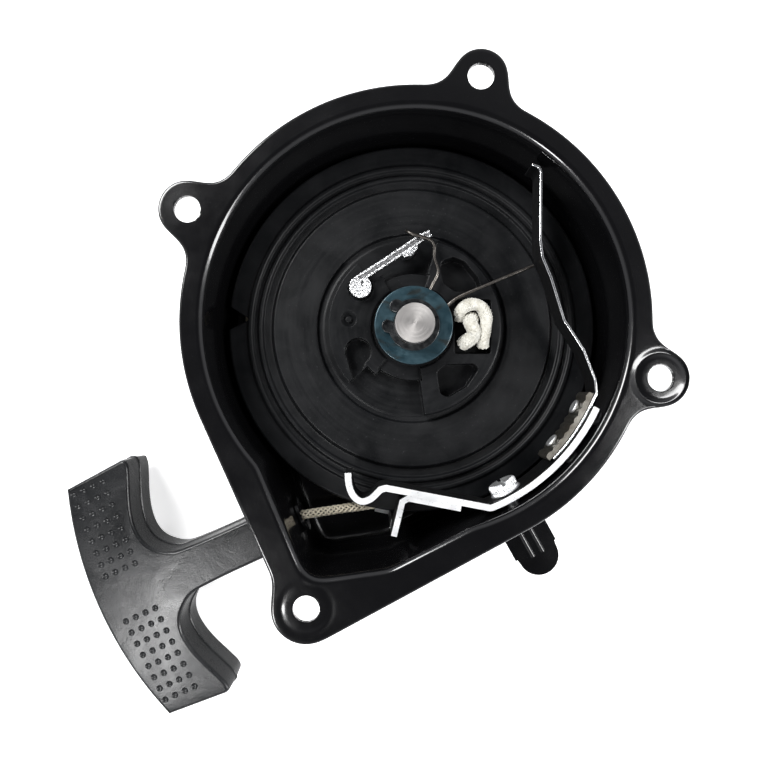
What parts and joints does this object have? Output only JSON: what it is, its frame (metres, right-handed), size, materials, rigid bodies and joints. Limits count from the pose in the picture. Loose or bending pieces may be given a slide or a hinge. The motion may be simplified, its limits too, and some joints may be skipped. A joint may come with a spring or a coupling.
{
  "type": "recoil starter",
  "caption": "Pull-cord recoil starter: pressed black bowl housing with mounting ears, rope reel with swinging pawl, and a T-shaped pull handle.",
  "frame": {"origin": "centre of the mounting flange's plane, on the shaft axis", "axes": "+Z out of the open side towards the engine, along the shaft; +Y towards the top ear; the handle leaves towards -X and -Y"},
  "size_m": [0.1978, 0.211, 0.044],
  "materials": {
    "black_paint": "gloss",
    "turned_steel": "turned",
    "zinc_plate": "bright zinc plated",
    "blue_zinc": "blue passivated, greased",
    "black_oxide": "black oxide, greased",
    "spring_steel": "dark tempered wire and strip",
    "black_nylon": "satin moulded nylon",
    "bronze": "sintered bronze",
    "rope": "braided cord",
    "rope_knot": "braided cord, waxed knot",
    "handle_pvc": "matte moulded PVC"
  },
  "bodies": {
    "root": {"housing": "black_paint", "side_lug": "black_paint", "center_shaft": "turned_steel", "shaft_washer": "zinc_plate", "shaft_rivet": "turned_steel", "friction_collar": "turned_steel", "friction_washer": "blue_zinc", "e_clip": "black_oxide", "spring_shield": "zinc_plate", "spring_anchor": "turned_steel", "recoil_spring": "spring_steel", "guide_bracket": "zinc_plate", "bracket_foot": "zinc_plate", "bracket_screw": "zinc_plate", "bracket_nut": "zinc_plate", "leaf_clamp": "zinc_plate", "clamp_rivets": "zinc_plate", "leaf_root": "zinc_plate", "rope_eyelet": "zinc_plate", "rope_run": "rope"},
    "reel": {"reel": "black_nylon", "spring_hook": "turned_steel", "reel_bush": "bronze", "rope_winding": "rope", "rope_knot": "rope_knot"},
    "pawl": {"pawl": "zinc_plate"},
    "drag_spring": {"drag_spring": "spring_steel"},
    "leaf_spring": {"leaf_spring": "zinc_plate"},
    "handle": {"handle": "handle_pvc", "handle_washer": "zinc_plate", "handle_knot": "rope_knot", "rope_lead": "rope"}
  },
  "joints": [
    {"name": "handle_pull", "type": "slide", "parent": "root", "child": "handle", "axis": [-0.91, -0.4147, 0], "range_m": [0, 0.9], "stiffness_N_per_m": 30, "springref_m": -0.1},
    {"name": "reel_spin", "type": "hinge", "parent": "root", "child": "reel", "pos_m": [0, 0, -0.03], "axis": [0, 0, -1], "range_deg": [0, 947]},
    {"name": "drag_slip", "type": "hinge", "parent": "reel", "child": "drag_spring", "pos_m": [0, 0, -0.0139], "axis": [0, 0, 1], "range_deg": [0, 24]},
    {"name": "pawl_swing", "type": "hinge", "parent": "reel", "child": "pawl", "pos_m": [-0.017, 0.0126, -0.018], "axis": [0, 0, 1], "range_deg": [0, 20.5]},
    {"name": "leaf_flex", "type": "hinge", "parent": "root", "child": "leaf_spring", "pos_m": [0.056, -0.0219, -0.00975], "axis": [0, 0, -1], "range_deg": [0, 1.2], "stiffness_Nm_per_rad": 2}
  ],
  "couplings": [
    {"joint": "reel_spin", "follows": "handle_pull", "rad_per_m": 18.35},
    {"joint": "pawl_swing", "follows": "drag_slip", "ratio": 0.85}
  ]
}
